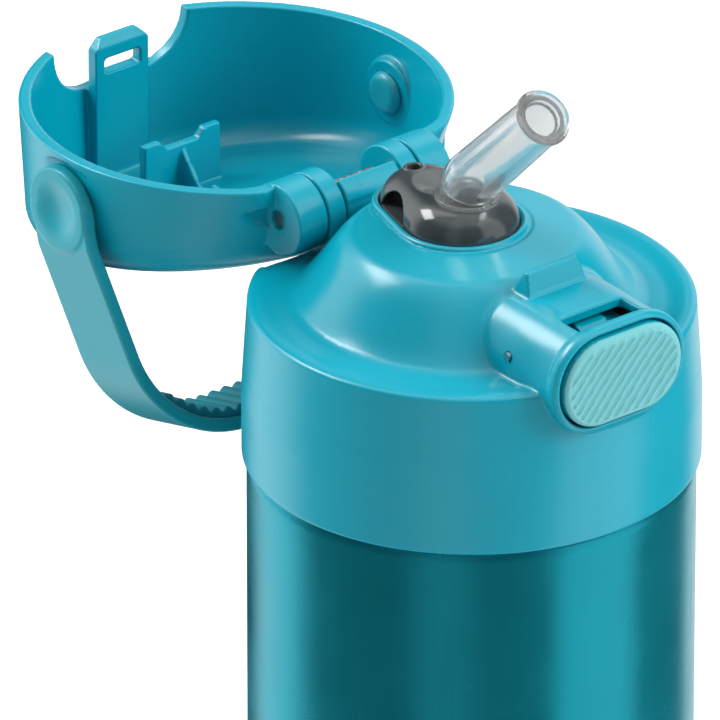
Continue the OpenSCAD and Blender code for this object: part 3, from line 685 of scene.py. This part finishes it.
def lid_form(x, y, z, inset, corner):
    """The lid's outer form, drawn in by the inset."""
    crown = LID_TOP - 7 * math.cos(SLOPE) - y * math.tan(SLOPE)
    u = np.clip((z - 1.4) / np.maximum(crown - 1.4, 4), 0, 1.15)
    cy = y + 1.37 * u
    rho = length(x, cy)
    side = rho - (RIM_R - 1.6 * u - 0.5 * u * (cy / np.maximum(rho, 1)) ** 2) + inset
    top = ((z - LID_TOP) + y * math.tan(SLOPE)) * math.cos(SLOPE) + inset
    return meet(side, top, corner)


def lid(x, y, z):
    ax = np.abs(x)
    outer = meet(lid_form(x, y, z, 0, 7), y - BACK_Y, 0.8)
    outer = meet(outer, RIM_Z - z, 0.35)
    inner = meet(lid_form(x, y, z, WALL, 4.9), y - BACK_Y + WALL, 1.5)
    d = cut(outer, inner, 0.35)
    d = cut(d, np.maximum(button_outline(x, z, 9.4), y + 24), 0.35)
    # the openings for the hinge
    d = cut(d, np.maximum(hinge_rod(y, z, 5.3), ax - 6.05))
    d = cut(d, brick(x, y, z, (-10, 10), (25, 36), (-2, HINGE_Z)), 0.3)
    d = cut(d, np.maximum(hinge_rod(y, z, 6.5), slab(ax, 6.05, KNUCKLE_IN)))
    d = join(d, meet(hinge_rod(y, z, 6.2), slab(ax, KNUCKLE_IN, KNUCKLE_OUT), 0.35), 0.3)
    # the lip that shuts the gap between the ears, on its web round the spring
    spread = np.degrees(np.arctan2(z - HINGE_Z, y - HINGE_Y))
    reach = length(y - HINGE_Y, z - HINGE_Z)
    web = np.maximum(np.abs(reach - 5.22) - 0.73, np.radians(slab(spread, -25, 135)) * 5)
    bar = meet(np.abs(reach - 5.02) - 1.23, np.radians(slab(spread, -60, -20)) * 5, 0.4)
    d = join(d, meet(join(bar, web, 0.3), ax - 5.85, 0.35), 0.3)
    # the strike tab with its window
    tab = brick(x, y, z, (-5.5, 5.5), (-32.25, -30), (1.3, 27), 0.2)
    tab = meet(tab, (ax - 5.5 - (z - 1.3) + 1.75) * 0.707, 0.2)
    tab = meet(tab, ((y + 30) - (z - 1.3) * 0.9 + 1.1) * 0.74, 0.15)
    tab = cut(tab, brick(x, y, z, (-3.6, 3.6), (-36, -28), (4.75, 7.4), 0.5), 0.2)
    # the plate that presses on the folded spout, its gusset and a small rib
    foot = 13.55 + 1.55 * (1 - smooth((ax - 3.1) / 1.6))
    plate = meet(brick(x, y, z, (-7.9, 7.9), (-15.7, -14.1), (13, 30), 0.25), foot - z, 0.25)
    gusset = np.maximum((15.1 + (y + 14.7) * 1.2 - z) / 1.56, -15 - y)
    gusset = np.maximum(gusset, y + 4.6)
    rib = brick(x, y, z, (-2, 2), (-6.3, -4.6), (19.4, 30), 0.3)
    gusset = meet(join(gusset, rib, 0.6), ax - 0.5, 0.2)
    boss = meet(length(y, z - PIVOT_Z) - 5.6, 31.4 - ax, 0.4)
    inside = join(join(tab, plate), join(gusset, boss))
    inside = np.maximum(inside, lid_form(x, y, z, 0.3, 6.7))
    d = join(d, inside, 0.5)
    d = cut(d, np.maximum(button_outline(x, z, 9.3), y + 32.7))
    d = cut(d, np.maximum(length(0.8 * y, z - PIVOT_Z) - 7.95, RECESS_X - ax), 0.15)
    d = cut(d, hinge_rod(y, z, PIN_BORE_R))
    # the scoop in the wall at the end of each knuckle, towards the hinge pin
    along = np.clip(((ax - KNUCKLE_OUT) * 6.9 - (y - HINGE_Y) * 1.5) / 49.9, 0, 1)
    scoop = length(ax - KNUCKLE_OUT - 6.9 * along, y - HINGE_Y + 1.5 * along, z - HINGE_Z) - 2.3
    d = cut(d, np.maximum(scoop, KNUCKLE_OUT - ax), 0.25)
    return cut(d, np.maximum(length(y, z - PIVOT_Z) - 2.5, 28 - ax))


carve("lid_body", lid, (-36, -36, -0.2), (36, 37, 30.6), 0.43, from_lid,
      PLASTIC, "lid", ["lid_shell"])

# ---------------------------------------------------------------- handle, hanging from its pivot

# Down each side: a straight leg to LEG_Z, a leg slanting in by TAPER, then the bottom loop.
STRAP_HALF_T, STRAP_HALF_W, DISC_R = 1.15, 7.0, 7.15
STRAP_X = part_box("carry_handle")[1].x * 1000 - STRAP_HALF_T
LOOP_R = 20 + STRAP_HALF_T
LOOP_Z = -21.5
LEG_Z = -6.32
TAPER = math.radians(12.3)
LOOP_X = (STRAP_X - (LEG_Z - LOOP_Z + LOOP_R * math.sin(TAPER)) * math.tan(TAPER)
          - LOOP_R * math.cos(TAPER))


def strap_middle(x, z):
    """Distance in the handle's plane from the middle of the strap."""
    ax = np.abs(x)
    leg = segment(ax, z, (STRAP_X, 0), (STRAP_X, LEG_Z))[0]
    start = (LOOP_X + LOOP_R * math.cos(TAPER), LOOP_Z - LOOP_R * math.sin(TAPER))
    slant = segment(ax, z, (STRAP_X, LEG_Z), start)[0]
    angle = np.arctan2(LOOP_Z - z, ax - LOOP_X)
    around = np.where((angle > TAPER) & (angle < math.pi / 2),
                      np.abs(length(ax - LOOP_X, z - LOOP_Z) - LOOP_R), 99)
    base = segment(ax, z, (LOOP_X, LOOP_Z - LOOP_R), (0, LOOP_Z - LOOP_R))[0]
    return np.minimum(np.minimum(leg, slant), np.minimum(around, base))


def handle(x, y, z):
    ax = np.abs(x)
    strap = meet(strap_middle(x, z) - STRAP_HALF_T, np.abs(y) - STRAP_HALF_W, 0.5)
    disc = meet(length(y, z) - DISC_R, slab(ax, STRAP_X - STRAP_HALF_T, STRAP_X + STRAP_HALF_T), 0.5)
    d = join(strap, disc, 0.6)
    # the shallow dish in the disc's outer face, then the rivet's hole
    d = cut(d, length(ax - STRAP_X - STRAP_HALF_T - 9.75, y, z) - 10.6, 0.5)
    return cut(d, np.maximum(length(y, z) - 2.45, ax - STRAP_X + 0.2))


carve("handle_bail", handle, (-39, -8, -45), (39, 8, 8), 0.33, from_handle,
      HANDLE_PLASTIC, "handle", ["carry_handle"])


GRIP_END, GRIP_RIB_PITCH = 28.5, 2.6


def grip(x, y, z):
    """The ribbed insert; s runs along the loop's inner face from its middle."""
    across, down = np.maximum(np.abs(x) - LOOP_X, 0), np.maximum(LOOP_Z - z, 0.01)
    inner = LOOP_R - STRAP_HALF_T
    depth = inner - length(across, down)
    s = np.minimum(np.abs(x), LOOP_X) + inner * np.arctan2(across, down)
    ribs = np.sqrt(np.sin(math.pi * s / GRIP_RIB_PITCH) ** 2 + 0.004)
    height = 0.3 + 0.5 * np.clip((28.6 - s) / 4, 0, 1) + 0.9 * ribs
    d = meet(meet((depth - height) * 0.7, np.abs(y) - 5.8, 0.4), s - GRIP_END, 0.3)
    return np.maximum(d, -0.05 - depth)


carve("handle_grip_pad", grip, (-28, -6.4, -42), (28, 6.4, -32), 0.25,
      from_handle, GRIP, "handle", ["handle_grip"])


RIVET_HEAD_X = 31.35


def rivets(x, y, z):
    ax = np.abs(x)
    r = length(y, z)
    shaft = np.maximum(r - 2.4, slab(ax, 31.0, STRAP_X - 0.2))
    head = length(np.maximum(r - 2.2, 0), np.minimum(ax - RIVET_HEAD_X, 0)) - 1.5
    return join(shaft, np.maximum(head, ax - RIVET_HEAD_X))


carve("handle_rivet_pair", rivets, (-37.5, -4.2, -4.2), (37.5, 4.2, 4.2), 0.25, from_handle,
      HANDLE_PLASTIC, "handle", ["handle_rivets"])

# ---------------------------------------------------------------- studio

FLOOR = finish("floor_white", (0.9, 0.9, 0.9), 0.9, vary=0.004, bump=0.02, worn=0.0)
FLOOR_HALF, FLOOR_Z = 3.0, -0.0001
corners = [(u * FLOOR_HALF, v * FLOOR_HALF, FLOOR_Z) for u, v in ((-1, -1), (1, -1), (1, 1), (-1, 1))]
floor = add_object("floor", np.array(corners), np.array([[0, 1, 2, 3]]), FLOOR)
floor.visible_glossy = False
floor.visible_transmission = False

AZIMUTH, ELEVATION = math.radians(-38.8), math.radians(27.3)
LOOK = Vector((-math.sin(AZIMUTH) * math.cos(ELEVATION), math.cos(AZIMUTH) * math.cos(ELEVATION),
               -math.sin(ELEVATION)))
RIGHT = Vector((math.cos(AZIMUTH), math.sin(AZIMUTH), 0))
UP = RIGHT.cross(LOOK)

camera = bpy.data.objects.new("camera", bpy.data.cameras.new("camera"))
camera.data.sensor_width = 36
camera.data.lens = 762.25
turned = Matrix((RIGHT, UP, -LOOK)).transposed().to_4x4()
BACK_OFF, LEFT_OFF, DOWN_OFF = 2.437, 0.01793, 0.01029
spot = Vector((0, 0, SHOULDER)) - BACK_OFF * LOOK - LEFT_OFF * RIGHT - DOWN_OFF * UP
camera.matrix_world = Matrix.Translation(spot) @ turned
bpy.context.scene.collection.objects.link(camera)
bpy.context.scene.camera = camera
bpy.context.scene.view_settings.view_transform = "Standard"


def softbox(name, azimuth, elevation, distance, size, power, glossy):
    """An area light aimed at the bottle; its azimuth is counted from the camera's, rightwards."""
    light = bpy.data.lights.new(name, "AREA")
    light.shape = "RECTANGLE"
    light.size, light.size_y = size
    light.energy = power
    obj = bpy.data.objects.new(name, light)
    a, e = AZIMUTH + math.radians(azimuth), math.radians(elevation)
    toward = Vector((math.sin(a) * math.cos(e), -math.cos(a) * math.cos(e), math.sin(e)))
    obj.location = Vector((0, 0.02, SHOULDER)) + toward * distance
    obj.rotation_euler = toward.to_track_quat("Z", "Y").to_euler()
    obj.visible_glossy = glossy
    obj.visible_camera = False
    bpy.context.scene.collection.objects.link(obj)


softbox("left", -115, 18, 1.4, (0.7, 0.9), 16.5, False)
softbox("right", 82, 36, 1.4, (0.8, 0.9), 23, False)
softbox("top", 0, 85, 1.2, (0.9, 0.9), 2.5, False)
softbox("high_left", -108, 45, 1.4, (0.7, 0.45), 8, True)

world = bpy.data.worlds.new("studio")
bpy.context.scene.world = world
world.use_nodes = True
world.cycles.sampling_method = "NONE"
nodes, links = world.node_tree.nodes, world.node_tree.links
nodes.clear()


def math_node(operation, *values):
    """A math node of the world shader; each value is a number or another node's output."""
    node = nodes.new("ShaderNodeMath")
    node.operation = operation
    for i, v in enumerate(values):
        if isinstance(v, (int, float)):
            node.inputs[i].default_value = v
        else:
            links.new(v, node.inputs[i])
    return node.outputs["Value"]


def ramp(value, start, end, top):
    """Rises smoothly from 0 to top as the value goes from start to end."""
    node = nodes.new("ShaderNodeMapRange")
    node.interpolation_type = "SMOOTHSTEP"
    node.inputs["From Min"].default_value = start
    node.inputs["From Max"].default_value = end
    node.inputs["To Max"].default_value = top
    links.new(value, node.inputs["Value"])
    return node.outputs["Result"]


coord = nodes.new("ShaderNodeTexCoord")
split = nodes.new("ShaderNodeSeparateXYZ")
links.new(coord.outputs["Generated"], split.inputs["Vector"])
heading = math_node("ARCTAN2", split.outputs["X"], math_node("MULTIPLY", split.outputs["Y"], -1.0))


def strip(middle, half_width, soft, strength):
    """A lit band of the surroundings about an azimuth counted from the camera's, rightwards."""
    off = math_node("WRAP", math_node("SUBTRACT", heading, AZIMUTH + math.radians(middle)),
                    math.pi, -math.pi)
    return ramp(math_node("ABSOLUTE", off), math.radians(half_width + soft),
                math.radians(half_width - soft), strength)


# What reflections see: dim bands at several headings and a bright patch overhead.
glow = 0.01
for band in ((-120, 22, 14, 1.5), (-15, 14, 10, 0.35), (68, 24, 5, 1.1), (160, 18, 10, 1.2)):
    glow = math_node("ADD", strip(*band), glow)
glow = math_node("ADD", ramp(split.outputs["Z"], 0.55, 0.95, 0.9), glow)

# The camera sees a white backdrop, diffuse surfaces an even light.
BACKDROP, AMBIENT = 1.05, 0.57
path = nodes.new("ShaderNodeLightPath")
seen = math_node("MAXIMUM", path.outputs["Is Camera Ray"], path.outputs["Is Transmission Ray"])
strength = math_node("MULTIPLY_ADD", path.outputs["Is Glossy Ray"],
                     math_node("SUBTRACT", glow, AMBIENT), AMBIENT)
strength = math_node("MAXIMUM", math_node("MULTIPLY", seen, BACKDROP),
                     math_node("MULTIPLY", strength, math_node("SUBTRACT", 1.0, seen)))
background = nodes.new("ShaderNodeBackground")
links.new(strength, background.inputs["Strength"])
output = nodes.new("ShaderNodeOutputWorld")
links.new(background.outputs["Background"], output.inputs["Surface"])
